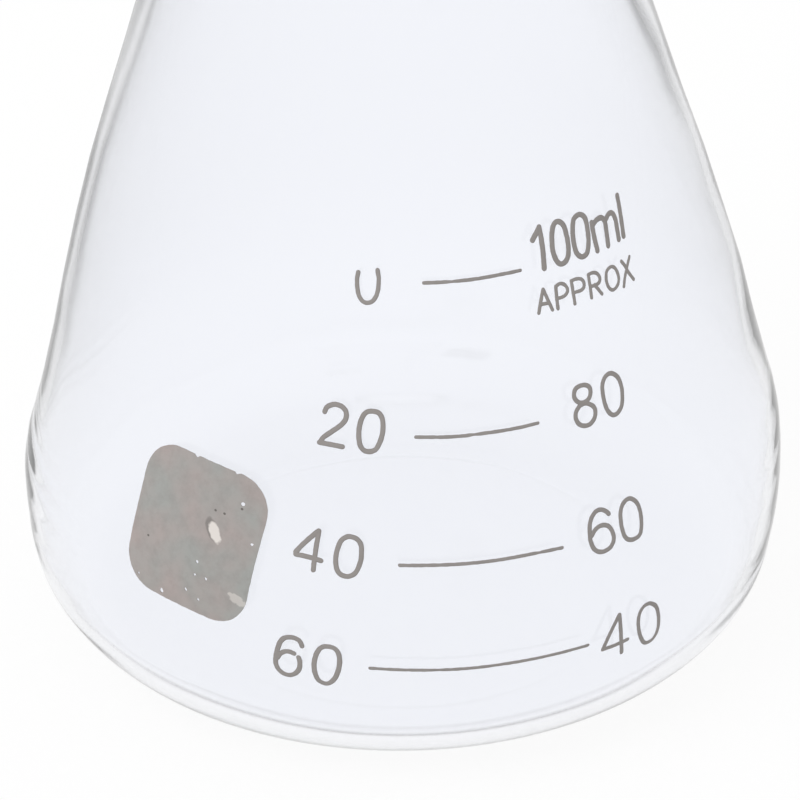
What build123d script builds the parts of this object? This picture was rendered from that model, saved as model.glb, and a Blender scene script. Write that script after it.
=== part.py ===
from build123d import *
from math import acos, asin, atan, atan2, cos, degrees, hypot, radians, sin, sqrt, tan
import os

# Conical flask of blown borosilicate glass, with a fired enamel scale and marking patch.
# Millimetres and degrees. The origin is the centre of the seat that it stands on, +Z is up,
# and the scale faces -Y. Bearings turn from -Y towards +X.

# Body
body_diameter = 64.0  # over the widest part of the belly
flask_height = 105.0
wall = 1.2
heel_radius = 9.5  # rounding between the seat and the belly
heel_top_angle = -11.0  # slope of the glass where the heel runs into the belly
belly_radius = 27.0  # rounding between the heel and the cone

# Base
seat_width = 2.0  # flat ring that touches the table
kick_radius = 4.0  # rounding between the seat and the pushed-up middle
base_rise = 1.2  # how far the middle is pushed up
base_wall = 1.8  # glass at the middle

# Neck
neck_diameter = 22.0
neck_wall = 1.5
neck_length = 22.5  # from the rim down to where the cone's side would meet the neck's
shoulder_radius = 20.0  # hollow curve between the cone and the neck
rim_overhang = 2.0  # how far the bead stands out past the neck
rim_root_radius = 1.0  # hollow curve under the bead

# Enamel
enamel_thickness = 0.1
line_width = 0.3
line_heights = [12.35, 20.8, 29.95, 40.75]  # the 40, 60, 80 and 100 millilitre lines
line_bearings = [(-4.7, 25.5), (-0.6, 22.3), (2.0, 20.8), (3.9, 20.7)]  # where each starts and ends
patch_width = 11.0
patch_height = 11.9
patch_corner_radius = 2.8
patch_bearing = -30.8
patch_centre_height = 21.05
patch_tilt = -7.5  # turned clockwise, as it was stuck on

# Centres of the round stretches of the outside, as (distance from the axis, height)
belly_r = body_diameter / 2 - belly_radius
heel_r = belly_r + (belly_radius - heel_radius) * cos(radians(heel_top_angle))
belly_z = heel_radius - (belly_radius - heel_radius) * sin(radians(heel_top_angle))
kick_r = heel_r - seat_width

# Cone: its side leaves the belly smoothly and runs to the corner with the neck
neck_radius = neck_diameter / 2
corner_z = flask_height - neck_length
corner_distance = hypot(neck_radius - belly_r, corner_z - belly_z)
corner_angle = degrees(atan2(corner_z - belly_z, neck_radius - belly_r))
cone_angle = corner_angle - degrees(acos(belly_radius / corner_distance))  # from the axis
cone_foot_r = belly_r + belly_radius * cos(radians(cone_angle))
cone_foot_z = belly_z + belly_radius * sin(radians(cone_angle))

# Rim bead: a full round as wide as the neck's wall and the overhang together
bore_radius = neck_radius - neck_wall
bead_radius = (neck_wall + rim_overhang) / 2
bead_r = bore_radius + bead_radius
bead_z = flask_height - bead_radius
root_r = neck_radius + rim_root_radius
root_z = bead_z - sqrt((bead_radius + rim_root_radius) ** 2 - (root_r - bead_r) ** 2)
root_angle = degrees(atan2(bead_z - root_z, bead_r - root_r))


def draw_side(inset, rise, side_radius, top):
    """Draw one face of the glass from the axis up to the rim, and return its end on the axis.

    inset is how far the face lies inside the outer one, rise is how far its middle is
    pushed up, side_radius is the neck's radius on that face and top is where it ends.
    """
    kick_sweep = 2 * degrees(atan(rise / kick_r))
    kick_size = kick_radius - inset
    dome_radius = (kick_r - kick_size * sin(radians(kick_sweep))) / sin(radians(kick_sweep))
    dome_z = inset + rise - dome_radius
    middle = CenterArc((0, dome_z), dome_radius, 90 - kick_sweep, kick_sweep)
    CenterArc((kick_r, kick_radius), kick_size, -90 - kick_sweep, kick_sweep)
    Line((kick_r, inset), (heel_r, inset))
    CenterArc((heel_r, heel_radius), heel_radius - inset, -90, 90 + heel_top_angle)
    belly_sweep = cone_angle - heel_top_angle
    belly = CenterArc((belly_r, belly_z), belly_radius - inset, heel_top_angle, belly_sweep)
    foot = belly @ 1
    turn_z = foot.Y + (foot.X - side_radius) / tan(radians(cone_angle))
    FilletPolyline(foot, (side_radius, turn_z), (side_radius, top), radius=shoulder_radius + inset)
    return middle @ 1


def outside_at(height):
    """Radius of the outside at a height above the heel, and the slope of its normal."""
    if height < cone_foot_z:
        slope = degrees(asin((height - belly_z) / belly_radius))
        return belly_r + belly_radius * cos(radians(slope)), slope
    return cone_foot_r - (height - cone_foot_z) * tan(radians(cone_angle)), cone_angle


def upright_plane(bearing):
    """Plane through the axis whose x runs outwards at a bearing and whose y runs up."""
    out_x = sin(radians(bearing))
    out_y = -cos(radians(bearing))
    return Plane(origin=(0, 0, 0), x_dir=(out_x, out_y, 0), z_dir=(out_y, -out_x, 0))


def draw_enamel_coat():
    """Draw the section of a coat on the outside of the belly and the cone."""
    run = (flask_height - cone_foot_z) / 2
    along = Vector(-run * tan(radians(cone_angle)), run)
    belly_sweep = cone_angle - heel_top_angle
    under = CenterArc((belly_r, belly_z), belly_radius, heel_top_angle, belly_sweep)
    over = CenterArc((belly_r, belly_z), belly_radius + enamel_thickness, heel_top_angle, belly_sweep)
    under_cone = Line(under @ 1, (under @ 1) + along)
    over_cone = Line(over @ 1, (over @ 1) + along)
    Line(under @ 0, over @ 0)
    Line(under_cone @ 1, over_cone @ 1)


# Blown glass, turned from one section
with BuildPart() as flask:
    with BuildSketch(Plane.XZ):
        with BuildLine():
            under_middle = draw_side(0, base_rise, neck_radius, root_z)
            floor_middle = draw_side(wall, base_rise + base_wall - wall, bore_radius, bead_z)
            Line(under_middle, floor_middle)
            CenterArc((root_r, root_z), rim_root_radius, root_angle, 180 - root_angle)
            CenterArc((bead_r, bead_z), bead_radius, root_angle - 180, 360 - root_angle)
        make_face()
    revolve(axis=Axis.Z)

# Scale lines, each a short hoop of enamel on the glass
with BuildPart() as graduation_lines:
    for height, (first_bearing, last_bearing) in zip(line_heights, line_bearings):
        with BuildSketch(upright_plane(first_bearing)):
            with BuildLine():
                draw_enamel_coat()
            make_face()
            with Locations((body_diameter / 2, height)):
                Rectangle(body_diameter, line_width, mode=Mode.INTERSECT)
        revolve(axis=Axis.Z, revolution_arc=last_bearing - first_bearing)

# Marking patch: a rounded square cut from a coat of enamel, square to the glass at its centre
patch_r, patch_slope = outside_at(patch_centre_height)
upright = upright_plane(patch_bearing)
patch_spot = upright.x_dir * patch_r + upright.y_dir * patch_centre_height
patch_normal = upright.x_dir * cos(radians(patch_slope)) + upright.y_dir * sin(radians(patch_slope))
patch_plane = Plane(origin=patch_spot, x_dir=-upright.z_dir, z_dir=patch_normal)

with BuildPart() as marking_patch:
    with BuildSketch(Plane.XZ):
        with BuildLine():
            draw_enamel_coat()
        make_face()
    revolve(axis=Axis.Z)
    with BuildSketch(patch_plane):
        RectangleRounded(patch_width, patch_height, patch_corner_radius, rotation=patch_tilt)
    extrude(amount=patch_height / 2, both=True, mode=Mode.INTERSECT)

os.makedirs("parts", exist_ok=True)

flask.part.label = "flask"
export_step(flask.part, "parts/flask.step")

graduation_lines.part.label = "graduation_lines"
export_step(graduation_lines.part, "parts/graduation_lines.step")

marking_patch.part.label = "marking_patch"
export_step(marking_patch.part, "parts/marking_patch.step")
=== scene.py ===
from math import acos, asin, atan, atan2, cos, degrees, hypot, pi, radians, sin, sqrt, tan

import bmesh
import bpy
from mathutils import Matrix, Vector, noise


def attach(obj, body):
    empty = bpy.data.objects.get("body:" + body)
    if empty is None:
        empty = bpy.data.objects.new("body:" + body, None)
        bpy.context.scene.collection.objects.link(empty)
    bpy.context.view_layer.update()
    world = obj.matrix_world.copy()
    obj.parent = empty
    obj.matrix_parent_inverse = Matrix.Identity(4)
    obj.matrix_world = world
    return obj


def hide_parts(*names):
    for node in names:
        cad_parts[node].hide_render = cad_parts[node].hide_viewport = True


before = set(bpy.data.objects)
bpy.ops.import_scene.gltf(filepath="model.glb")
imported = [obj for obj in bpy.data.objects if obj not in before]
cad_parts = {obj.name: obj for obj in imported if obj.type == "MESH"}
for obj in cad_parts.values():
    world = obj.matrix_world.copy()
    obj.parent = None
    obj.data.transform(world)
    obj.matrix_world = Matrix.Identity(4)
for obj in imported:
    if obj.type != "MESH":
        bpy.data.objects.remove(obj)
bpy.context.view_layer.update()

print("frame loaded:", sorted(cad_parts))

mm = 0.001  # every size below is written in millimetres


# Small helpers

def hexColour(text):  # sRGB hex, as a paint program gives it, to the linear colour a shader takes
    parts = [int(text[i:i + 2], 16) / 255 for i in (1, 3, 5)]
    return tuple(c / 12.92 if c <= 0.04045 else ((c + 0.055) / 1.055) ** 2.4 for c in parts) + (1.0,)


def addNode(tree, kind, settings=None, links=None):  # settings go to sockets, or else to properties
    node = tree.nodes.new(kind)
    for key, value in (settings or {}).items():
        if isinstance(key, int) or key in node.inputs:
            node.inputs[key].default_value = value
        else:
            setattr(node, key, value)
    for key, (source, output) in (links or {}).items():
        tree.links.new(source.outputs[output], node.inputs[key])
    return node


def newMaterial(name):
    material = bpy.data.materials.new(name)
    material.use_nodes = True
    material.node_tree.nodes.clear()
    return material, material.node_tree


def finishObject(bm, name, material, smooth=True):  # a bmesh in millimetres becomes an object in metres
    bmesh.ops.scale(bm, vec=(mm, mm, mm), verts=bm.verts)
    mesh = bpy.data.meshes.new(name)
    bm.to_mesh(mesh)
    bm.free()
    if smooth:
        mesh.shade_smooth()
    mesh.materials.append(material)
    piece = bpy.data.objects.new(name, mesh)
    bpy.context.scene.collection.objects.link(piece)
    return piece


def meshOf(curve, joinWithin):  # a curve as it is filled or bevelled, in a bmesh
    drawn = bpy.data.objects.new(curve.name + "Drawn", curve)
    bpy.context.scene.collection.objects.link(drawn)
    bpy.context.view_layer.update()
    flat = bpy.data.meshes.new_from_object(drawn)
    bm = bmesh.new()
    bm.from_mesh(flat)
    bpy.data.objects.remove(drawn)
    bpy.data.meshes.remove(flat)
    bmesh.ops.remove_doubles(bm, verts=bm.verts, dist=joinWithin)
    return bm


# Camera, where the photograph was taken from

cameraPlace = {
    "position": (0.0, -184.84, 119.94),
    "down": 28.953,  # degrees below level
    "left": 0.054,  # degrees turned to the left
    "roll": -0.736,  # degrees turned about the line of sight
    "lens": 112.5,
}


def makeCamera():
    data = bpy.data.cameras.new("camera")
    data.lens = cameraPlace["lens"]
    data.clip_start = 0.01
    camera = bpy.data.objects.new("camera", data)
    turn = Matrix.Rotation(radians(cameraPlace["left"]), 4, "Z")
    turn = turn @ Matrix.Rotation(radians(90 - cameraPlace["down"]), 4, "X")
    turn = turn @ Matrix.Rotation(radians(cameraPlace["roll"]), 4, "Z")
    camera.matrix_world = Matrix.Translation(Vector(cameraPlace["position"]) * mm) @ turn
    bpy.context.scene.collection.objects.link(camera)
    bpy.context.scene.camera = camera
    bpy.context.scene.view_settings.view_transform = "Standard"


makeCamera()
print("camera placed")


# Studio: a pale floor, a white room and one softbox

studio = {
    "floorColour": "#f4f4f3",
    "floorSize": 3000.0,
    "floorGlow": 0.93,  # share of the floor that shows as plain white, the rest takes the shadow
    "roomColour": "#ffffff",
    "roomLight": 0.85,  # what the room gives the surfaces
    "softboxPower": 3.0,
    "softboxSize": 500.0,
    "softboxPlace": (-450.0, -350.0, 650.0),
}


def seenAsWhite(tree):  # 1 for what the camera sees, straight or by way of the glass, and 0 for other light
    path = addNode(tree, "ShaderNodeLightPath")
    seen = addNode(tree, "ShaderNodeMath", {"operation": "MAXIMUM"},
                   {0: (path, "Is Camera Ray"), 1: (path, "Is Glossy Ray")})
    return addNode(tree, "ShaderNodeMath", {"operation": "MAXIMUM"},
                   {0: (seen, "Value"), 1: (path, "Is Transmission Ray")})


def makeFloor():
    material, tree = newMaterial("paintedFloor")
    paint = addNode(tree, "ShaderNodeBsdfDiffuse", {"Color": hexColour(studio["floorColour"])})
    glow = addNode(tree, "ShaderNodeEmission", {"Color": (1, 1, 1, 1), "Strength": 1.0})
    share = addNode(tree, "ShaderNodeMath", {"operation": "MULTIPLY", 1: studio["floorGlow"]},
                    {0: (seenAsWhite(tree), "Value")})
    mix = addNode(tree, "ShaderNodeMixShader", {},
                  {0: (share, "Value"), 1: (paint, "BSDF"), 2: (glow, "Emission")})
    addNode(tree, "ShaderNodeOutputMaterial", {}, {"Surface": (mix, "Shader")})
    bm = bmesh.new()
    bmesh.ops.create_grid(bm, x_segments=1, y_segments=1, size=studio["floorSize"] / 2)
    floor = finishObject(bm, "floor", material, smooth=False)


def makeRoom():
    world = bpy.data.worlds.new("room")
    bpy.context.scene.world = world
    world.use_nodes = True
    tree = world.node_tree
    tree.nodes.clear()
    strength = addNode(tree, "ShaderNodeMapRange", {"To Min": studio["roomLight"], "To Max": 1.0},
                       {"Value": (seenAsWhite(tree), "Value")})
    light = addNode(tree, "ShaderNodeBackground", {"Color": hexColour(studio["roomColour"])},
                    {"Strength": (strength, "Result")})
    addNode(tree, "ShaderNodeOutputWorld", {}, {"Surface": (light, "Background")})


def makeSoftbox():
    data = bpy.data.lights.new("softbox", "AREA")
    data.shape = "SQUARE"
    data.size = studio["softboxSize"] * mm
    data.energy = studio["softboxPower"]
    lamp = bpy.data.objects.new("softbox", data)
    lamp.location = Vector(studio["softboxPlace"]) * mm
    lamp.rotation_euler = (-lamp.location).to_track_quat("-Z", "Y").to_euler()
    lamp.visible_glossy = False
    lamp.visible_transmission = False
    bpy.context.scene.collection.objects.link(lamp)


makeFloor()
makeRoom()
makeSoftbox()
print("studio set")


# Glass: borosilicate, blown and fire polished. The eye gets a clear wall, darkened only at its edges by
# painted shade.

flaskGlass = {
    "bodyDiameter": 64.0,
    "height": 105.0,
    "wall": 1.2,
    "heelRadius": 9.5,
    "heelTopAngle": -11.0,
    "bellyRadius": 27.0,
    "seatWidth": 2.0,
    "kickRadius": 4.0,
    "baseRise": 1.2,
    "baseWall": 1.8,
    "neckDiameter": 22.0,
    "neckWall": 1.5,
    "neckLength": 22.5,
    "shoulderRadius": 20.0,
    "rimOverhang": 2.0,
    "rimRootRadius": 1.0,
    "turnSteps": 256,
    "steps": {  # points along each run of the section
        "middle": 16, "kick": 6, "heel": 28, "belly": 24, "cone": 12, "shoulder": 10, "root": 8, "bead": 28,
        "insideCone": 24, "insideHeel": 24,
    },
    "fit": 0.9997,  # keeps the round glass inside the frame's own facets
    "waviness": 0.05,  # how uneven the inside is
    "waveWidth": 9.0,
    "waveStretch": 0.35,  # under 1, the waves are drawn out along the height
    "wavesFrom": (4.0, 6.0),  # height where they begin, and the height over which they grow
    "wavesTo": (80.0, 10.0),  # height where they end, and the height over which they die away
    "tint": "#fafbfe",
    "ior": 1.474,
    "sideHold": 6,  # power that keeps the following to the two sides, clear of the print
    "outOfRound": [  # height, and how far the left and the right side stand out there
        (1.5, 0.0, 0.0), (4.5, 0.1, 0.22), (6.5, 0.26, 0.02), (8.7, 0.16, -0.12), (11.3, -0.02, -0.1),
        (14.4, -0.06, -0.06), (16.4, -0.26, 0.0), (18.2, -0.55, 0.07), (20.0, -0.68, 0.06), (22.0, -0.7, 0.0),
        (24.0, -0.58, -0.04), (28.0, -0.3, 0.18), (32.0, -0.03, 0.31), (36.3, 0.19, 0.17), (41.0, 0.3, 0.05),
        (45.4, 0.2, -0.28), (50.0, 0.03, -0.5), (54.4, -0.08, -0.74), (62.0, -0.05, -0.6), (76.0, 0.0, 0.0),
    ],
}

# Painted shade: how much of a dark colour each face takes where it is seen edge-on: height, left side, right
# side.
# Outline and band are for the outer face, insideLine and insideShade for the inner one.
paintedGlassShade = {
    "outline": [  # along the outline itself
        (1.0, 0.42, 0.42), (4.0, 0.42, 0.42), (7.5, 0.36, 0.34), (13.5, 0.3, 0.32), (21.0, 0.28, 0.38),
        (24.0, 0.2, 0.4), (28.0, 0.15, 0.45), (32.0, 0.15, 0.65), (36.0, 0.15, 0.8), (44.0, 0.3, 0.9),
        (47.0, 0.35, 0.75), (50.0, 0.35, 0.4), (54.0, 0.3, 0.25), (62.0, 0.3, 0.3), (105.0, 0.35, 0.35),
    ],
    "reach": [  # the cosine at which the outline has faded out
        (1.0, 0.22, 0.22), (7.5, 0.28, 0.28), (13.5, 0.25, 0.25), (21.0, 0.12, 0.22), (28.0, 0.09, 0.18),
        (36.0, 0.09, 0.26), (40.0, 0.1, 0.31), (44.0, 0.1, 0.35), (47.0, 0.1, 0.32), (50.0, 0.1, 0.2),
        (105.0, 0.12, 0.12),
    ],
    "band": [  # over the width of the wall
        (9.0, 0.0, 0.0), (13.0, 0.03, 0.03), (21.0, 0.06, 0.05), (30.0, 0.07, 0.1), (37.0, 0.1, 0.2),
        (40.0, 0.2, 0.35), (43.0, 0.32, 0.5), (46.0, 0.42, 0.5), (50.0, 0.5, 0.45), (54.0, 0.52, 0.35),
        (62.0, 0.35, 0.3), (80.0, 0.15, 0.15), (105.0, 0.15, 0.15),
    ],
    "insideLine": [  # along the inner wall
        (1.0, 0.3, 0.3), (5.5, 0.3, 0.25), (8.0, 0.05, 0.05), (13.0, 0.0, 0.0), (21.0, 0.05, 0.0),
        (25.0, 0.08, 0.0), (29.0, 0.2, 0.0), (33.0, 0.32, 0.05), (37.0, 0.45, 0.05), (43.0, 0.42, 0.1),
        (46.0, 0.32, 0.3), (50.0, 0.22, 0.5), (54.0, 0.3, 0.5), (62.0, 0.25, 0.25), (105.0, 0.2, 0.2),
    ],
    "insideShade": [  # the soft shade next to that line
        (4.0, 0.04, 0.04), (7.5, 0.08, 0.05), (13.0, 0.12, 0.06), (21.0, 0.2, 0.1), (29.0, 0.3, 0.25),
        (37.0, 0.3, 0.28), (43.0, 0.32, 0.2), (50.0, 0.32, 0.2), (105.0, 0.25, 0.25),
    ],
    "fullTo": 0.5,  # share of its reach over which the outline is at its darkest
    "bandReach": (0.27, 0.37),  # cosines between which the band fades out
    "lineWidth": 0.014,  # as a difference of cosines
    "shadeFall": -4.2,  # how steeply the shade falls away with the cosine
    "streaks": 0.13,  # how ragged the outline is where it is dark
    "streakSize": 2.0,
    # the colour of the painted shade
    "colour": "#2b2c33",
}
edgeShades = ("outline", "reach", "band", "insideLine", "insideShade")

g = flaskGlass
bellyR = g["bodyDiameter"] / 2 - g["bellyRadius"]
heelR = bellyR + (g["bellyRadius"] - g["heelRadius"]) * cos(radians(g["heelTopAngle"]))
bellyZ = g["heelRadius"] - (g["bellyRadius"] - g["heelRadius"]) * sin(radians(g["heelTopAngle"]))
kickR = heelR - g["seatWidth"]
neckRadius = g["neckDiameter"] / 2
boreRadius = neckRadius - g["neckWall"]
cornerZ = g["height"] - g["neckLength"]
cornerAngle = degrees(atan2(cornerZ - bellyZ, neckRadius - bellyR))
coneAngle = cornerAngle - degrees(acos(g["bellyRadius"] / hypot(neckRadius - bellyR, cornerZ - bellyZ)))
coneFootR = bellyR + g["bellyRadius"] * cos(radians(coneAngle))
coneFootZ = bellyZ + g["bellyRadius"] * sin(radians(coneAngle))


def outsideAt(height):  # radius of the outside from the heel to the shoulder, and how far its normal leans up
    if height < coneFootZ:
        slope = asin((height - bellyZ) / g["bellyRadius"])
        return bellyR + g["bellyRadius"] * cos(slope), slope
    return coneFootR - (height - coneFootZ) * tan(radians(coneAngle)), radians(coneAngle)


def atHeight(rows, height, side):  # a smooth line through rows of (height, left, right), side is -1 to 1
    height = min(max(height, rows[0][0]), rows[-1][0] - 0.001)
    here = max(i for i in range(len(rows)) if rows[i][0] <= height)
    share = (height - rows[here][0]) / (rows[here + 1][0] - rows[here][0])
    ease = share * share * (3 - 2 * share)
    left, right = (rows[here][i] + (rows[here + 1][i] - rows[here][i]) * ease for i in (1, 2))
    return (left * (1 - side) + right * (1 + side)) / 2


def makeGlassMaterial():
    material, tree = newMaterial("blownGlassWithPaintedShade")
    glass = addNode(tree, "ShaderNodeBsdfPrincipled", {
        "Base Color": hexColour(g["tint"]),
        "Roughness": 0.0,
        "IOR": g["ior"],
        "Transmission Weight": 1.0,
    })
    # painted shade: a dark colour is mixed in where the glass is seen edge-on, by how it faces and the tables
    # above
    facing = addNode(tree, "ShaderNodeLayerWeight", {"Blend": 0.5})
    cosine = addNode(tree, "ShaderNodeMath", {"operation": "SUBTRACT", 0: 1.0}, {1: (facing, "Facing")})
    edge = {name: addNode(tree, "ShaderNodeAttribute", {"attribute_name": name}) for name in edgeShades}
    place = addNode(tree, "ShaderNodeTexCoord")
    cords = addNode(tree, "ShaderNodeTexNoise", {"Scale": 1 / (paintedGlassShade["streakSize"] * mm), "Detail": 3.0},
                    {"Vector": (place, "Object")})
    ragged = addNode(tree, "ShaderNodeMath", {"operation": "SUBTRACT", 1: 0.5}, {0: (cords, "Fac")})
    ragged = addNode(tree, "ShaderNodeMath", {"operation": "MULTIPLY", 1: paintedGlassShade["streaks"]},
                     {0: (ragged, "Value")})
    ragged = addNode(tree, "ShaderNodeMath", {"operation": "MULTIPLY_ADD"},
                     {0: (ragged, "Value"), 1: (edge["outline"], "Fac"), 2: (cosine, "Value")})
    near = addNode(tree, "ShaderNodeMath", {"operation": "MULTIPLY", 1: paintedGlassShade["fullTo"]},
                   {0: (edge["reach"], "Fac")})
    outline = addNode(tree, "ShaderNodeMapRange", {"interpolation_type": "SMOOTHSTEP", "To Max": 0.0},
                      {"Value": (ragged, "Value"), "From Min": (near, "Value"),
                       "From Max": (edge["reach"], "Fac"), "To Min": (edge["outline"], "Fac")})
    low, high = paintedGlassShade["bandReach"]
    band = addNode(tree, "ShaderNodeMapRange",
                   {"interpolation_type": "SMOOTHSTEP", "From Min": low, "From Max": high, "To Max": 0.0},
                   {"Value": (ragged, "Value"), "To Min": (edge["band"], "Fac")})
    # painted shade: a dark line along the inner wall, put where light in the glass stops getting through, at
    # the critical angle
    critical = sqrt(1 - 1 / g["ior"] ** 2)
    away = addNode(tree, "ShaderNodeMath", {"operation": "SUBTRACT", 1: critical}, {0: (cosine, "Value")})
    away = addNode(tree, "ShaderNodeMath", {"operation": "ABSOLUTE"}, {0: (away, "Value")})
    geometry = addNode(tree, "ShaderNodeNewGeometry")
    fromAir = addNode(tree, "ShaderNodeMath", {"operation": "SUBTRACT", 0: 1.0}, {1: (geometry, "Backfacing")})
    away = addNode(tree, "ShaderNodeMath", {"operation": "ADD"}, {0: (away, "Value"), 1: (fromAir, "Value")})
    line = addNode(tree, "ShaderNodeMapRange",
                   {"interpolation_type": "SMOOTHSTEP", "From Max": paintedGlassShade["lineWidth"], "To Max": 0.0},
                   {"Value": (away, "Value"), "To Min": (edge["insideLine"], "Fac")})
    fall = addNode(tree, "ShaderNodeMath", {"operation": "MULTIPLY", 1: paintedGlassShade["shadeFall"]},
                   {0: (cosine, "Value")})
    fall = addNode(tree, "ShaderNodeMath", {"operation": "EXPONENT"}, {0: (fall, "Value")})
    shade = addNode(tree, "ShaderNodeMath", {"operation": "MULTIPLY"},
                    {0: (fall, "Value"), 1: (edge["insideShade"], "Fac")})
    passed = None
    for held, output in ((outline, "Result"), (band, "Result"), (line, "Result"), (shade, "Value")):
        clear = addNode(tree, "ShaderNodeMath", {"operation": "SUBTRACT", 0: 1.0, "use_clamp": True},
                        {1: (held, output)})
        if passed:
            clear = addNode(tree, "ShaderNodeMath", {"operation": "MULTIPLY"},
                            {0: (passed, "Value"), 1: (clear, "Value")})
        passed = clear
    # painted shade: a dark matte surface mixed into the glass, not a part of the real glass
    dark = addNode(tree, "ShaderNodeBsdfDiffuse", {"Color": hexColour(paintedGlassShade["colour"])})
    mix = addNode(tree, "ShaderNodeMixShader", {},
                  {0: (passed, "Value"), 1: (dark, "BSDF"), 2: (glass, "BSDF")})
    addNode(tree, "ShaderNodeOutputMaterial", {}, {"Surface": (mix, "Shader")})
    return material


def runOn(bm, vertex, radius, height):  # adds a straight run to the section
    new = bmesh.ops.extrude_vert_indiv(bm, verts=[vertex])["verts"][0]
    new.co = Vector((radius, 0, height))
    return new


def turnOn(bm, vertex, centre, sweep, steps):  # adds a round run, anticlockwise where sweep is over 0
    made = bmesh.ops.spin(bm, geom=[vertex], cent=(centre[0], 0, centre[1]), axis=(0, -1, 0),
                          angle=radians(sweep), steps=steps, use_merge=False, use_duplicate=False)
    return [item for item in made["geom_last"] if isinstance(item, bmesh.types.BMVert)][0]


def kickOf(inset, rise):  # sweep of the pushed-up middle, and the height of its dome's centre
    sweep = 2 * degrees(atan(rise / kickR))
    size = g["kickRadius"] - inset
    dome = (kickR - size * sin(radians(sweep))) / sin(radians(sweep))
    return sweep, inset + rise - dome


def climb(bm, point, start, end, steps):  # a straight run in even steps, which carry the wall's unevenness
    for step in range(1, steps + 1):
        point = runOn(bm, point, *(a + (b - a) * step / steps for a, b in zip(start, end)))
    return point


def drawOutside(bm, steps):  # from the middle of the underside up to the bore
    underSweep, underZ = kickOf(0, g["baseRise"])
    point = bm.verts.new((0, 0, g["baseRise"]))
    point = turnOn(bm, point, (0, underZ), -underSweep, steps["middle"])
    point = turnOn(bm, point, (kickR, g["kickRadius"]), underSweep, steps["kick"])
    point = runOn(bm, point, heelR, 0)
    point = turnOn(bm, point, (heelR, g["heelRadius"]), 90 + g["heelTopAngle"], steps["heel"])
    point = turnOn(bm, point, (bellyR, bellyZ), coneAngle - g["heelTopAngle"], steps["belly"])
    # the hollow shoulder touches the cone and the neck
    reach = g["shoulderRadius"] * tan(radians(coneAngle / 2))
    foot = (neckRadius + reach * sin(radians(coneAngle)), cornerZ - reach * cos(radians(coneAngle)))
    point = climb(bm, point, (coneFootR, coneFootZ), foot, steps["cone"])
    shoulderCentre = (neckRadius + g["shoulderRadius"], cornerZ + reach)
    point = turnOn(bm, point, shoulderCentre, -coneAngle, steps["shoulder"])
    # the bead is as wide as the neck's wall and the overhang together, with a hollow root under it
    beadRadius = (g["neckWall"] + g["rimOverhang"]) / 2
    beadR = boreRadius + beadRadius
    beadZ = g["height"] - beadRadius
    rootR = neckRadius + g["rimRootRadius"]
    rootZ = beadZ - sqrt((beadRadius + g["rimRootRadius"]) ** 2 - (rootR - beadR) ** 2)
    rootAngle = degrees(atan2(beadZ - rootZ, beadR - rootR))
    point = runOn(bm, point, neckRadius, rootZ)
    point = turnOn(bm, point, (rootR, rootZ), rootAngle - 180, steps["root"])
    return turnOn(bm, point, (beadR, beadZ), 360 - rootAngle, steps["bead"])


def drawInside(bm, point, steps):  # from the bead down to the middle of the floor
    shoulder = g["shoulderRadius"] + g["wall"]
    foot = (bellyR + (g["bellyRadius"] - g["wall"]) * cos(radians(coneAngle)),
            bellyZ + (g["bellyRadius"] - g["wall"]) * sin(radians(coneAngle)))
    corner = foot[1] + (foot[0] - boreRadius) / tan(radians(coneAngle))
    shoulderTop = corner + shoulder * tan(radians(coneAngle / 2))
    point = runOn(bm, point, boreRadius, shoulderTop)
    point = turnOn(bm, point, (boreRadius + shoulder, shoulderTop), coneAngle, steps["shoulder"])
    point = climb(bm, point, (point.co.x, point.co.z), foot, steps["insideCone"])
    point = turnOn(bm, point, (bellyR, bellyZ), g["heelTopAngle"] - coneAngle, steps["belly"])
    point = turnOn(bm, point, (heelR, g["heelRadius"]), -90 - g["heelTopAngle"], steps["insideHeel"])
    point = runOn(bm, point, kickR, g["wall"])
    overSweep, overZ = kickOf(g["wall"], g["baseRise"] + g["baseWall"] - g["wall"])
    point = turnOn(bm, point, (kickR, g["kickRadius"]), -overSweep, steps["kick"])
    turnOn(bm, point, (0, overZ), overSweep, steps["middle"])


def shadeEdges(bm, inside):  # writes on each vertex how much painted shade its face takes at its edges
    layers = {name: bm.verts.layers.float.new(name) for name in edgeShades}
    for vertex in bm.verts:
        side = vertex.co.x / max(hypot(vertex.co.x, vertex.co.y), 1)
        within = vertex[inside] > 0.5
        for name in edgeShades:
            if name == "reach" or within == name.startswith("inside"):
                vertex[layers[name]] = atHeight(paintedGlassShade[name], vertex.co.z, side)


def unevenGlass(bm, inside):  # blown glass is never even on the inside, nor quite round
    start, growth = g["wavesFrom"]
    end, loss = g["wavesTo"]
    for vertex in bm.verts:
        spot = vertex.co.copy()
        across = hypot(spot.x, spot.y)
        if vertex[inside] > 0.5 and spot.z < end:
            fade = max(0, min(1, (spot.z - start) / growth, (end - spot.z) / loss))
            wave = noise.noise(Vector((spot.x, spot.y, spot.z * g["waveStretch"])) / g["waveWidth"])
            vertex.co += vertex.normal * (wave * fade * g["waviness"])
        if across > 1:
            push = atHeight(g["outOfRound"], spot.z, 1.0 if spot.x > 0 else -1.0)
            push *= abs(spot.x / across) ** g["sideHold"]
            vertex.co += Vector((spot.x, spot.y, 0)) * push / across


def makeFlask(material):
    bm = bmesh.new()
    bead = drawOutside(bm, g["steps"])
    outsideSection = set(bm.verts)
    drawInside(bm, bead, g["steps"])
    inside = bm.verts.layers.float.new("inside")
    for vertex in bm.verts:
        vertex[inside] = 0.0 if vertex in outsideSection else 1.0
    bmesh.ops.spin(bm, geom=bm.verts[:] + bm.edges[:], cent=(0, 0, 0), axis=(0, 0, 1), angle=2 * pi,
                   steps=g["turnSteps"], use_merge=True, use_duplicate=False)
    bmesh.ops.remove_doubles(bm, verts=bm.verts, dist=0.0005)
    bmesh.ops.recalc_face_normals(bm, faces=bm.faces)
    bm.normal_update()
    shadeEdges(bm, inside)
    unevenGlass(bm, inside)
    bmesh.ops.scale(bm, vec=(g["fit"],) * 3, verts=bm.verts)
    return finishObject(bm, "flaskGlass", material)


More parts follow.
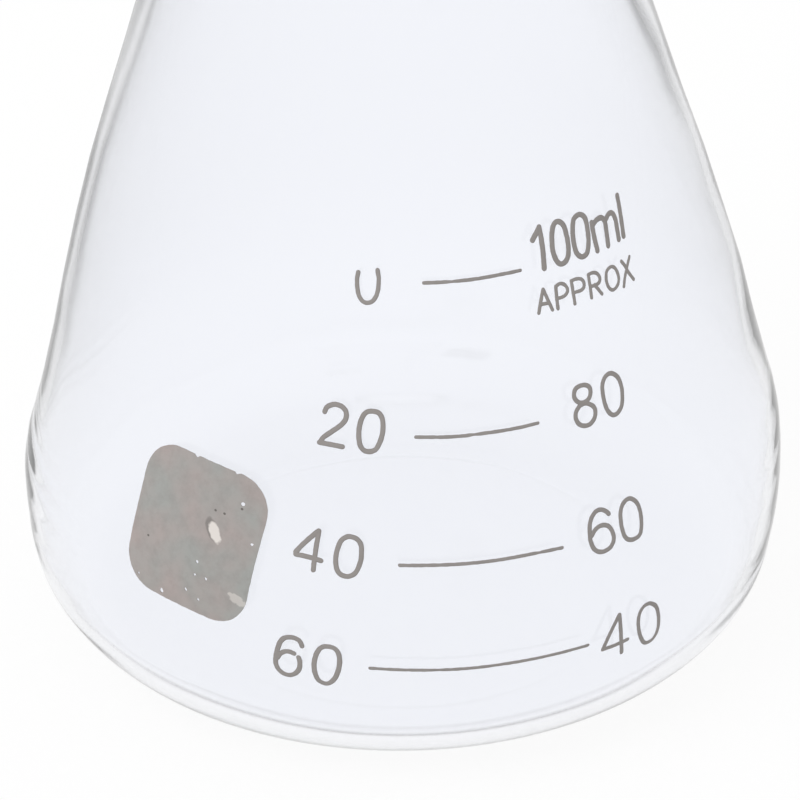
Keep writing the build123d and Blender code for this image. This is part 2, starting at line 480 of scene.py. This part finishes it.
flask = makeFlask(makeGlassMaterial())
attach(flask, "root")
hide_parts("flask")
print("glass blown:", len(flask.data.polygons), "faces")


# Enamel: ceramic ink, screened on and fired. The eye gets a warm grey with a soft sheen and ragged edges.

enamel = {
    "inkColour": "#8f8a87",
    "inkDark": "#7f7a77",
    "cloudSize": 1.6,  # of the lighter and darker places
    "grainSize": 0.12,  # of the grit in the surface
    "grainDepth": 0.02,
    "grainStrength": 0.15,
    "roughness": 0.5,
    "thickness": 0.05,
    "lift": 0.006,  # clear of the glass, so that the two don't share a face
    "pathStep": 0.14,  # spacing of the points along a stroke
    "raggedness": 0.022,  # how far a stroke's edge wanders
    "raggedWidth": 0.28,
    "roundEnd": [(0.5, 0.87), (0.8, 0.6), (0.95, 0.31), (1.0, 0.05)],  # how far past the end, and how wide
}


def slantAt(height):  # distance along the outside, upwards from its widest ring
    if height < coneFootZ:
        return g["bellyRadius"] * outsideAt(height)[1]
    return g["bellyRadius"] * radians(coneAngle) + (height - coneFootZ) / cos(radians(coneAngle))


def outsideAtSlant(slant):  # radius, height and lean of the outside at that distance
    bellyRun = g["bellyRadius"] * radians(coneAngle)
    if slant < bellyRun:
        slope = slant / g["bellyRadius"]
        return bellyR + g["bellyRadius"] * cos(slope), bellyZ + g["bellyRadius"] * sin(slope), slope
    lean = radians(coneAngle)
    run = slant - bellyRun
    return coneFootR - run * sin(lean), coneFootZ + run * cos(lean), lean


def wrapRound(bm, bearing, height):  # lays a flat piece on the outside: x runs round it, y up it and z off it
    start = slantAt(height)
    for vertex in bm.verts:
        across, along, off = vertex.co
        radius, level, lean = outsideAtSlant(start + along)
        angle = radians(bearing) + across / radius
        out = radius + off * cos(lean)
        vertex.co = (out * sin(angle), -out * cos(angle), level + off * sin(lean))


def smoothLine(points, closed):  # evenly spaced points on a curve that runs through the given ones
    spots = [Vector(point) for point in points]
    count = len(spots)
    line = []
    for index in range(count if closed else count - 1):
        before = spots[index - 1] if closed or index else spots[0] * 2 - spots[1]
        here, there = spots[index], spots[(index + 1) % count]
        after = spots[(index + 2) % count] if closed or index < count - 2 else there * 2 - here
        steps = max(1, round((there - here).length / enamel["pathStep"]))
        for step in range(steps):
            t = step / steps
            bend = 2 * before - 5 * here + 4 * there - after
            twist = 3 * here - before - 3 * there + after
            line.append(0.5 * (2 * here + (there - before) * t + bend * t * t + twist * t ** 3))
    return line if closed else line + [spots[-1]]


def addStroke(curve, line, closed, width, weight):  # a round-ended bead of ink, flattened later
    points = [(spot, weight(spot)) for spot in line]
    if not closed:
        first = (line[0] - line[1]).normalized() * width / 2
        last = (line[-1] - line[-2]).normalized() * width / 2
        for reach, size in enamel["roundEnd"]:
            points.append((line[-1] + last * reach * weight(line[-1]), size * weight(line[-1])))
            points.insert(0, (line[0] + first * reach * weight(line[0]), size * weight(line[0])))
    spline = curve.splines.new("POLY")
    spline.points.add(len(points) - 1)
    for point, (spot, size) in zip(spline.points, points):
        point.co = (spot.x, spot.y, 0, 1)
        point.radius = size * width / 2
    spline.use_cyclic_u = closed


def fullWeight(spot):
    return 1.0


def makeInk(name, strokes, width, bearing, height, material, weight=fullWeight):
    curve = bpy.data.curves.new(name, "CURVE")
    curve.dimensions = "3D"
    curve.bevel_depth = 1.0
    curve.bevel_resolution = 2
    curve.use_fill_caps = True
    for kind, points in strokes:
        line = smoothLine(points, kind == "loop")
        addStroke(curve, line, kind == "loop", width, weight)
    bm = meshOf(curve, 0.001)
    bmesh.ops.recalc_face_normals(bm, faces=bm.faces)
    lift = enamel["thickness"] / 2 + enamel["lift"]
    flatten = enamel["thickness"] / width
    for vertex in bm.verts:
        spot = Vector((vertex.co.x, vertex.co.y, 0)) / enamel["raggedWidth"] + Vector((bearing, height, 0))
        wander = noise.noise_vector(spot) * enamel["raggedness"]
        vertex.co = (vertex.co.x + wander.x, vertex.co.y + wander.y, vertex.co.z * flatten + lift)
    wrapRound(bm, bearing, height)
    piece = finishObject(bm, name, material)
    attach(piece, "root")
    return piece


def makeInkMaterial():
    material, tree = newMaterial("firedInk")
    place = addNode(tree, "ShaderNodeTexCoord")
    cloud = addNode(tree, "ShaderNodeTexNoise", {"Scale": 1 / (enamel["cloudSize"] * mm), "Detail": 3.0},
                    {"Vector": (place, "Object")})
    tones = addNode(tree, "ShaderNodeMix", {"data_type": "RGBA", 6: hexColour(enamel["inkColour"]),
                                            7: hexColour(enamel["inkDark"])}, {0: (cloud, "Fac")})
    grain = addNode(tree, "ShaderNodeTexNoise", {"Scale": 1 / (enamel["grainSize"] * mm), "Detail": 2.0},
                    {"Vector": (place, "Object")})
    bump = addNode(tree, "ShaderNodeBump", {"Strength": enamel["grainStrength"],
                                            "Distance": enamel["grainDepth"] * mm},
                   {"Height": (grain, "Fac")})
    ink = addNode(tree, "ShaderNodeBsdfPrincipled", {"Roughness": enamel["roughness"], "IOR": 1.5},
                  {"Base Color": (tones, 2), "Normal": (bump, "Normal")})
    addNode(tree, "ShaderNodeOutputMaterial", {}, {"Surface": (ink, "BSDF")})
    return material


# Letterforms: strokes in millimetres about the middle of each mark, straight, round or closed in a loop

marks = {
    "number20Left": {"bearing": -7.7, "height": 30.6, "stroke": 0.38, "strokes": [
        ("round", [
            (-1.97, 1.05), (-1.82, 1.4), (-1.53, 1.57), (-1.16, 1.65), (-0.75, 1.54), (-0.47, 1.28),
            (-0.36, 0.92), (-0.45, 0.54), (-0.73, 0.17), (-1.12, -0.15), (-1.55, -0.48), (-1.99, -0.81),
            (-2.24, -1.19),
        ]),
        ("straight", [(-2.32, -1.25), (-0.61, -1.44)]),
        ("loop", [
            (1.44, 1.29), (1.95, 1.18), (2.22, 0.79), (2.31, 0.13), (2.25, -0.54), (2.02, -1.21),
            (1.77, -1.58), (1.38, -1.71), (0.94, -1.61), (0.67, -1.21), (0.57, -0.51), (0.62, 0.23),
            (0.8, 0.83), (1.05, 1.17),
        ]),
    ]},
    "number40Left": {"bearing": -10.4, "height": 21.5, "stroke": 0.38, "strokes": [
        ("round", [(-0.78, 1.69), (-0.9, 0.75), (-1.02, -0.32), (-1.1, -1.31)]),
        ("round", [(-0.81, 1.69), (-1.44, 1.08), (-2.02, 0.47), (-2.48, -0.1)]),
        ("round", [(-2.47, -0.27), (-1.54, -0.36), (-0.55, -0.55)]),
        ("loop", [
            (1.53, 1.44), (2.05, 1.28), (2.37, 0.84), (2.43, 0.24), (2.39, -0.37), (2.18, -1.02),
            (1.9, -1.42), (1.43, -1.59), (0.98, -1.48), (0.67, -1.12), (0.55, -0.41), (0.63, 0.36),
            (0.88, 1.06), (1.17, 1.34),
        ]),
    ]},
    "number60Left": {"bearing": -13.2, "height": 12.8, "stroke": 0.4, "strokes": [
        ("round", [
            (-0.37, 1.26), (-0.52, 1.65), (-0.83, 1.86), (-1.29, 1.9), (-1.72, 1.76), (-2.05, 1.38),
            (-2.27, 0.77), (-2.44, 0.02), (-2.47, -0.63), (-2.28, -1.15), (-1.87, -1.48), (-1.4, -1.53),
            (-0.92, -1.25), (-0.63, -0.76), (-0.57, -0.15), (-0.65, 0.22),
        ]),
        ("round", [(-1.01, 0.52), (-1.32, 0.62), (-1.71, 0.58), (-2.07, 0.34), (-2.34, -0.1)]),
        ("loop", [
            (1.61, 1.48), (2.1, 1.36), (2.4, 0.95), (2.48, 0.27), (2.38, -0.46), (2.12, -1.23),
            (1.76, -1.74), (1.37, -1.91), (0.91, -1.75), (0.63, -1.27), (0.52, -0.49), (0.6, 0.29),
            (0.85, 1.0), (1.18, 1.38),
        ]),
    ]},
    "number80Right": {"bearing": 31.6, "height": 30.5, "stroke": 0.36, "strokes": [
        ("loop", [
            (-0.96, 1.43), (-0.63, 1.16), (-0.62, 0.76), (-0.85, 0.36), (-1.28, 0.18), (-1.7, 0.27),
            (-1.99, 0.59), (-2.02, 0.98), (-1.84, 1.32), (-1.44, 1.47),
        ]),
        ("loop", [
            (-1.21, 0.09), (-0.8, -0.1), (-0.51, -0.42), (-0.48, -0.85), (-0.68, -1.26), (-1.12, -1.55),
            (-1.6, -1.55), (-2.01, -1.29), (-2.19, -0.83), (-2.1, -0.4), (-1.86, -0.11), (-1.58, 0.07),
        ]),
        ("loop", [
            (1.5, 1.65), (1.99, 1.19), (2.18, 0.46), (2.14, -0.3), (1.91, -1.0), (1.47, -1.41),
            (1.0, -1.41), (0.63, -1.01), (0.45, -0.26), (0.43, 0.59), (0.59, 1.24), (0.98, 1.63),
        ]),
    ]},
    "number60Right": {"bearing": 31.1, "height": 21.3, "stroke": 0.36, "strokes": [
        ("round", [
            (-0.47, 1.03), (-0.65, 1.28), (-1.02, 1.52), (-1.49, 1.53), (-1.93, 1.18), (-2.21, 0.63),
            (-2.34, -0.12), (-2.33, -0.75), (-2.15, -1.27), (-1.81, -1.58), (-1.34, -1.68), (-0.78, -1.53),
            (-0.42, -1.13), (-0.36, -0.62), (-0.53, -0.05), (-0.92, 0.28), (-1.4, 0.33), (-1.87, 0.13),
            (-2.2, -0.23),
        ]),
        ("loop", [
            (1.68, 1.58), (2.17, 1.1), (2.36, 0.29), (2.3, -0.64), (2.04, -1.35), (1.54, -1.54),
            (0.98, -1.45), (0.62, -1.05), (0.48, -0.29), (0.54, 0.71), (0.83, 1.33), (1.26, 1.61),
        ]),
    ]},
    "number40Right": {"bearing": 32.7, "height": 12.4, "stroke": 0.35, "strokes": [
        ("round", [(-1.25, 1.77), (-1.12, 0.52), (-1.01, -0.63), (-0.87, -1.86)]),
        ("round", [(-1.28, 1.78), (-1.9, 0.71), (-2.32, -0.11), (-2.67, -0.9)]),
        ("round", [(-2.65, -0.91), (-1.64, -0.89), (-0.41, -0.78)]),
        ("loop", [
            (1.8, 1.65), (2.32, 1.14), (2.59, 0.18), (2.64, -0.78), (2.45, -1.47), (2.03, -1.86),
            (1.37, -1.83), (0.89, -1.09), (0.6, -0.03), (0.58, 0.89), (0.86, 1.5), (1.3, 1.74),
        ]),
    ]},
    "capacityMark": {"bearing": 33.4, "height": 42.3, "stroke": 0.41, "strokes": [
        ("straight", [(-4.06, 0.46), (-3.39, 1.24)]),
        ("round", [(-3.37, 1.31), (-3.35, 0.34), (-3.4, -0.69), (-3.52, -1.75)]),
        ("loop", [
            (-1.75, 1.38), (-1.38, 1.03), (-1.26, 0.33), (-1.25, -0.49), (-1.39, -1.21), (-1.71, -1.62),
            (-2.14, -1.71), (-2.45, -1.34), (-2.59, -0.64), (-2.52, 0.17), (-2.35, 0.88), (-2.1, 1.29),
        ]),
        ("loop", [
            (0.13, 1.46), (0.56, 1.09), (0.63, 0.32), (0.56, -0.57), (0.34, -1.3), (0.05, -1.59),
            (-0.33, -1.59), (-0.67, -1.19), (-0.75, -0.31), (-0.65, 0.56), (-0.41, 1.25),
        ]),
        ("round", [(1.1, 0.61), (1.11, -0.34), (1.21, -1.55)]),
        ("round", [(1.17, 0.4), (1.59, 0.68), (2.06, 0.71), (2.32, 0.38), (2.33, -0.33), (2.28, -1.47)]),
        ("round", [(2.44, 0.46), (2.8, 0.77), (3.17, 0.74), (3.38, 0.23), (3.4, -0.53), (3.4, -1.33)]),
        ("round", [(3.96, 1.84), (3.98, 0.5), (3.93, -1.23)]),
    ]},
    "approximateMark": {"bearing": 33.1, "height": 38.6, "stroke": 0.275, "strokes": [
        ("round", [(-3.77, 0.66), (-4.1, -0.15), (-4.42, -1.0)]),
        ("round", [(-3.76, 0.66), (-3.55, -0.11), (-3.3, -0.98)]),
        ("straight", [(-4.15, -0.41), (-3.46, -0.4)]),
        ("round", [(-2.72, 0.65), (-2.8, -0.2), (-2.84, -0.99)]),
        ("round", [
            (-2.72, 0.65), (-2.45, 0.78), (-2.13, 0.73), (-1.87, 0.47), (-1.81, 0.14), (-2.05, -0.14),
            (-2.43, -0.24), (-2.78, -0.22),
        ]),
        ("round", [(-1.38, 0.77), (-1.38, -0.15), (-1.39, -0.96)]),
        ("round", [
            (-1.38, 0.77), (-0.93, 0.8), (-0.55, 0.71), (-0.34, 0.42), (-0.39, 0.06), (-0.71, -0.12),
            (-1.11, -0.13), (-1.4, -0.15),
        ]),
        ("round", [(0.16, 0.84), (0.15, -0.09), (0.12, -0.88)]),
        ("round", [
            (0.16, 0.84), (0.49, 0.89), (0.85, 0.8), (1.1, 0.49), (1.08, 0.12), (0.76, -0.06),
            (0.16, -0.06),
        ]),
        ("round", [(0.56, -0.04), (0.83, -0.44), (1.1, -0.87)]),
        ("loop", [
            (2.36, 0.85), (2.75, 0.55), (2.9, -0.1), (2.73, -0.59), (2.36, -0.84), (2.05, -0.83),
            (1.77, -0.48), (1.7, 0.1), (1.88, 0.65),
        ]),
        ("round", [(3.41, 0.94), (3.72, 0.46), (3.93, -0.04), (4.35, -0.73)]),
        ("round", [(4.29, 1.02), (3.93, 0.42), (3.52, -0.29), (3.26, -0.94)]),
    ]},
    "zeroPart": {"bearing": -5.5, "height": 40.5, "stroke": 0.32, "strokes": [
        ("round", [
            (-0.7, 1.0), (-0.78, 0.49), (-0.75, -0.16), (-0.61, -0.73), (-0.33, -1.11), (0.03, -1.2),
            (0.38, -1.05), (0.64, -0.62), (0.76, -0.04), (0.77, 0.61), (0.68, 1.18),
        ]),
    ]},
}

inkMaterial = makeInkMaterial()
for name, mark in marks.items():
    makeInk(name, mark["strokes"], mark["stroke"], mark["bearing"], mark["height"], inkMaterial)
print("lettering printed:", len(marks), "marks")


# Scale lines: where each runs, and the places where the ink is thin

scaleLines = {
    "width": 0.27,
    "lines": [  # bearing and height of points along each line
        [(-4.7, 12.6), (0.1, 12.47), (4.3, 12.37), (8.6, 12.3), (13.0, 12.3), (17.5, 12.3), (25.5, 12.34)],
        [(-0.6, 20.9), (4.3, 20.83), (8.7, 20.78), (13.2, 20.78), (17.8, 20.82), (22.3, 20.81)],
        [(2.0, 30.0), (7.4, 29.89), (12.3, 29.91), (17.3, 29.94), (20.8, 30.02)],
        [(3.9, 40.7), (8.7, 40.68), (12.8, 40.7), (17.0, 40.78), (20.7, 40.84)],
    ],
    "thin": [(4.5, 12.4), (18.9, 20.8), (10.8, 29.9), (8.7, 40.7)],  # bearing and height
    "thinShare": 0.3,  # of the width that is lost there
    "thinReach": 0.45,
    "unevenShare": 0.1,
    "unevenSize": 0.5,
    "middle": (10.0, 25.0),  # bearing and height about which the lines are drawn flat
}


def makeScaleLines(material):
    middle = scaleLines["middle"]
    start = slantAt(middle[1])

    def flatSpot(bearing, height):
        return radians(bearing - middle[0]) * outsideAt(height)[0], slantAt(height) - start

    thin = [Vector(flatSpot(*spot)) for spot in scaleLines["thin"]]

    def weight(spot):
        nearest = min((spot - other).length for other in thin)
        dip = scaleLines["thinShare"] * max(0, 1 - nearest / scaleLines["thinReach"])
        uneven = noise.noise(Vector((spot.x, spot.y, 0)) / scaleLines["unevenSize"])
        return 1 - dip + scaleLines["unevenShare"] * uneven

    strokes = [("round", [flatSpot(*spot) for spot in line]) for line in scaleLines["lines"]]
    piece = makeInk("scaleLines", strokes, scaleLines["width"], middle[0], middle[1], material, weight)
    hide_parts("graduation_lines")


makeScaleLines(inkMaterial)
print("scale lines printed")


# Marking patch: the same enamel as a block to write on, with pinholes where it didn't wet the glass

markingPatch = {
    "width": 10.96,
    "height": 11.91,
    "cornerRadius": 2.78,
    "cornerStep": 9,  # degrees
    "bearing": -30.835,
    "level": 21.051,
    "tilt": -7.456,
    "thickness": 0.06,
    "pinholes": [  # across, up, radius
        (3.4, 3.8, 0.16), (4.87, 1.13, 0.13), (0.93, -1.86, 0.13), (0.94, -2.93, 0.1), (1.92, -2.89, 0.12),
        (0.39, -4.45, 0.12), (-1.74, -5.49, 0.16), (1.6, -4.81, 0.1), (-4.11, -5.11, 0.1),
    ],
    "nicks": [(-1.26, 5.95, 0.24), (2.34, 5.98, 0.22)],  # bites out of the edge, written the same way
    "nickDepth": 0.8,
    "pinholeRaggedness": 0.5,
    "chip": (1.77, 0.91),
    "chipSize": (0.42, 0.85),
    "chipTurn": 38.0,
    "chipRaggedness": 0.6,
    "chipColour": "#cfc9c4",
    "chipShade": (-0.22, 0.12),  # where the dark edge shows, from the chip's middle
    "chipShadeGrowth": 1.15,  # its size against the chip's
    "chipShadeRaggedness": 0.5,
    "smudge": (4.75, -3.5),
    "smudgeSize": (0.75, 0.35),
    "smudgeTurn": -18.0,
    "smudgeRaggedness": 1.2,
    "smudgeStrength": 0.5,
    "specks": [(1.39, 2.55), (2.17, 2.58), (3.42, 3.45), (-3.82, -1.73)],
    "speckSize": (0.11, 0.09),
    "speckRaggedness": 0.4,
    "speckColour": "#5f5a57",
    "mauve": "#9c928f",
    "green": "#939491",
    "dark": "#7b7673",
    "spotEdgeSize": 0.35,  # of the raggedness round a chip, smudge or speck
    "spotSoftness": 0.12,
    "cloudSize": 4.0,  # of the mauve and the greenish places
    "cloudRange": (0.35, 0.65),  # noise levels that are all mauve and all greenish
    "mottleSize": 1.1,
    "mottleRange": (0.42, 0.8),  # noise levels where the dark begins and where it is full
    "mottleStrength": 0.45,
    "grainSize": 0.15,
    "grainStrength": 0.2,
    "outlineStep": 0.12,
    "outlineWander": 0.03,
    "wanderSize": 0.5,
    "edgeStep": 0.35,  # longest edge inside the sheet
}


def ringPoints(x, y, radius, count=10):  # a small ragged ring
    spots = []
    for index in range(count):
        angle = 2 * pi * index / count
        wobble = noise.noise(Vector((x * 3 + cos(angle), y * 3 + sin(angle), 0.5)))
        reach = radius * (1 + wobble * markingPatch["pinholeRaggedness"])
        spots.append((x + reach * cos(angle), y + reach * sin(angle)))
    return spots


def patchOutline():  # the rounded square, with a bite out of its edge at each nick
    p = markingPatch
    halfWidth, halfHeight, corner = p["width"] / 2, p["height"] / 2, p["cornerRadius"]
    spots = []
    for signX, signY, start in ((1, 1, 0), (-1, 1, 90), (-1, -1, 180), (1, -1, 270)):
        for step in range(90 // p["cornerStep"] + 1):
            angle = radians(start + p["cornerStep"] * step)
            spots.append(Vector((signX * (halfWidth - corner) + corner * cos(angle),
                                 signY * (halfHeight - corner) + corner * sin(angle))))
    line = []
    for here, there in zip(spots, spots[1:] + spots[:1]):
        steps = max(1, round((there - here).length / p["outlineStep"]))
        line += [here.lerp(there, step / steps) for step in range(steps)]
    for spot in line:
        wander = noise.noise(Vector((spot.x, spot.y, 3)) / p["wanderSize"]) * p["outlineWander"]
        spot += spot.normalized() * wander
        for x, y, radius in p["nicks"]:
            away = spot - Vector((x, y))
            if away.length < radius:
                spot += (Vector((0, 0)) - spot).normalized() * (radius - away.length) * p["nickDepth"]
    return line


def flatPatch():  # a flat sheet with its pinholes, fine enough to bend
    p = markingPatch
    curve = bpy.data.curves.new("markingPatch", "CURVE")
    curve.dimensions = "2D"
    curve.fill_mode = "BOTH"
    for ring in [patchOutline()] + [ringPoints(*pinhole) for pinhole in p["pinholes"]]:
        spline = curve.splines.new("POLY")
        spline.points.add(len(ring) - 1)
        for point, spot in zip(spline.points, ring):
            point.co = (spot[0], spot[1], 0, 1)
        spline.use_cyclic_u = True
    bm = meshOf(curve, 0.0005)
    bmesh.ops.triangulate(bm, faces=bm.faces)
    for turn in range(6):  # long edges are halved until the sheet can bend with the glass
        inner = [edge for edge in bm.edges if not edge.is_boundary]
        longEdges = [edge for edge in inner if edge.calc_length() > p["edgeStep"]]
        if not longEdges:
            break
        bmesh.ops.subdivide_edges(bm, edges=longEdges, cuts=1, use_grid_fill=False)
        bmesh.ops.triangulate(bm, faces=bm.faces)
        bmesh.ops.beautify_fill(bm, faces=bm.faces, edges=[edge for edge in bm.edges if not edge.is_boundary])
    bmesh.ops.recalc_face_normals(bm, faces=bm.faces)
    if sum(face.normal.z for face in bm.faces) < 0:
        bmesh.ops.reverse_faces(bm, faces=bm.faces)
    return bm


def bendOn(bm):  # each point goes straight in to the glass from a plane that touches it at the patch's middle
    p = markingPatch
    radius, lean = outsideAt(p["level"])
    bearing = radians(p["bearing"])
    across = Vector((cos(bearing), sin(bearing), 0))
    outward = Vector((sin(bearing), -cos(bearing), 0))
    normal = outward * cos(lean) + Vector((0, 0, sin(lean)))
    along = normal.cross(across)
    spin = radians(p["tilt"])
    sideways = across * cos(spin) + along * sin(spin)
    upwards = along * cos(spin) - across * sin(spin)
    middle = outward * radius + Vector((0, 0, p["level"]))
    for vertex in bm.verts:
        start = middle + sideways * vertex.co.x + upwards * vertex.co.y
        near, far = -4.0, 1.0
        for step in range(30):  # halves the stretch that the glass's face lies in
            reach = (near + far) / 2
            spot = start + normal * reach
            if hypot(spot.x, spot.y) > outsideAt(spot.z)[0]:
                far = reach
            else:
                near = reach
        spot = start + normal * near
        slope = outsideAt(spot.z)[1]
        flatOut = Vector((spot.x, spot.y, 0)).normalized()
        off = vertex.co.z + enamel["lift"]
        vertex.co = spot + (flatOut * cos(slope) + Vector((0, 0, sin(slope)))) * off


def makePatch(material):
    bm = flatPatch()
    top = bmesh.ops.extrude_face_region(bm, geom=bm.faces[:])
    bmesh.ops.translate(bm, vec=(0, 0, markingPatch["thickness"]),
                        verts=[item for item in top["geom"] if isinstance(item, bmesh.types.BMVert)])
    bmesh.ops.recalc_face_normals(bm, faces=bm.faces)
    flatLayer = bm.verts.layers.float_vector.new("flat")  # the place on the flat sheet, for the material
    for vertex in bm.verts:
        vertex[flatLayer] = vertex.co
    bendOn(bm)
    piece = finishObject(bm, "markingPatch", material, smooth=False)
    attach(piece, "root")
    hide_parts("marking_patch")
    return piece


def makePatchMaterial():
    p = markingPatch
    material, tree = newMaterial("firedPatchInk")
    flat = addNode(tree, "ShaderNodeAttribute", {"attribute_name": "flat"})
    cloud = addNode(tree, "ShaderNodeTexNoise", {"Scale": 1 / p["cloudSize"], "Detail": 2.0},
                    {"Vector": (flat, "Vector")})
    low, high = p["cloudRange"]
    hue = addNode(tree, "ShaderNodeMapRange", {"From Min": low, "From Max": high}, {"Value": (cloud, "Fac")})
    tones = addNode(tree, "ShaderNodeMix",
                    {"data_type": "RGBA", 6: hexColour(p["mauve"]), 7: hexColour(p["green"])},
                    {0: (hue, "Result")})
    mottle = addNode(tree, "ShaderNodeTexNoise",
                     {"Scale": 1 / p["mottleSize"], "Detail": 4.0, "Roughness": 0.65},
                     {"Vector": (flat, "Vector")})
    low, high = p["mottleRange"]
    depth = addNode(tree, "ShaderNodeMapRange",
                    {"From Min": low, "From Max": high, "To Max": p["mottleStrength"]},
                    {"Value": (mottle, "Fac")})

    def layOver(under, share, output, colour):  # one colour over what is there, by a share that a node gives
        return addNode(tree, "ShaderNodeMix", {"data_type": "RGBA", 7: hexColour(colour)},
                       {0: (share, output), 6: (under, 2)})

    def spotMask(centre, size, turn, ragged):  # 1 inside a soft ragged oval, 0 outside
        place = addNode(tree, "ShaderNodeMapping", {"vector_type": "TEXTURE", "Location": (*centre, 0),
                                                    "Rotation": (0, 0, radians(turn)), "Scale": (*size, 1)},
                        {"Vector": (flat, "Vector")})
        flatPlace = addNode(tree, "ShaderNodeVectorMath", {"operation": "MULTIPLY", 1: (1, 1, 0)},
                            {0: (place, "Vector")})
        away = addNode(tree, "ShaderNodeVectorMath", {"operation": "LENGTH"}, {0: (flatPlace, "Vector")})
        edge = addNode(tree, "ShaderNodeTexNoise", {"Scale": 1 / p["spotEdgeSize"], "Detail": 3.0},
                       {"Vector": (flat, "Vector")})
        shaken = addNode(tree, "ShaderNodeMath", {"operation": "MULTIPLY_ADD", 1: ragged},
                         {0: (edge, "Fac"), 2: (away, "Value")})
        rim, soft = 1.0 + ragged / 2, p["spotSoftness"]
        return addNode(tree, "ShaderNodeMapRange", {"From Min": rim + soft, "From Max": rim - soft},
                       {"Value": (shaken, "Value")})

    tones = layOver(tones, depth, "Result", p["dark"])
    shadeCentre = [place + shift for place, shift in zip(p["chip"], p["chipShade"])]
    shadeSize = [size * p["chipShadeGrowth"] for size in p["chipSize"]]
    shade = spotMask(shadeCentre, shadeSize, p["chipTurn"], p["chipShadeRaggedness"])
    tones = layOver(tones, shade, "Result", p["dark"])
    chip = spotMask(p["chip"], p["chipSize"], p["chipTurn"], p["chipRaggedness"])
    tones = layOver(tones, chip, "Result", p["chipColour"])
    smudge = spotMask(p["smudge"], p["smudgeSize"], p["smudgeTurn"], p["smudgeRaggedness"])
    faint = addNode(tree, "ShaderNodeMath", {"operation": "MULTIPLY", 1: p["smudgeStrength"]},
                    {0: (smudge, "Result")})
    tones = layOver(tones, faint, "Value", p["chipColour"])
    for centre in p["specks"]:
        speck = spotMask(centre, p["speckSize"], 0.0, p["speckRaggedness"])
        tones = layOver(tones, speck, "Result", p["speckColour"])
    grain = addNode(tree, "ShaderNodeTexNoise", {"Scale": 1 / p["grainSize"], "Detail": 2.0},
                    {"Vector": (flat, "Vector")})
    bump = addNode(tree, "ShaderNodeBump", {"Strength": p["grainStrength"],
                                            "Distance": enamel["grainDepth"] * mm},
                   {"Height": (grain, "Fac")})
    ink = addNode(tree, "ShaderNodeBsdfPrincipled", {"Roughness": enamel["roughness"], "IOR": 1.5},
                  {"Base Color": (tones, 2), "Normal": (bump, "Normal")})
    addNode(tree, "ShaderNodeOutputMaterial", {}, {"Surface": (ink, "BSDF")})
    return material


patch = makePatch(makePatchMaterial())
print("marking patch printed:", len(patch.data.polygons), "faces")
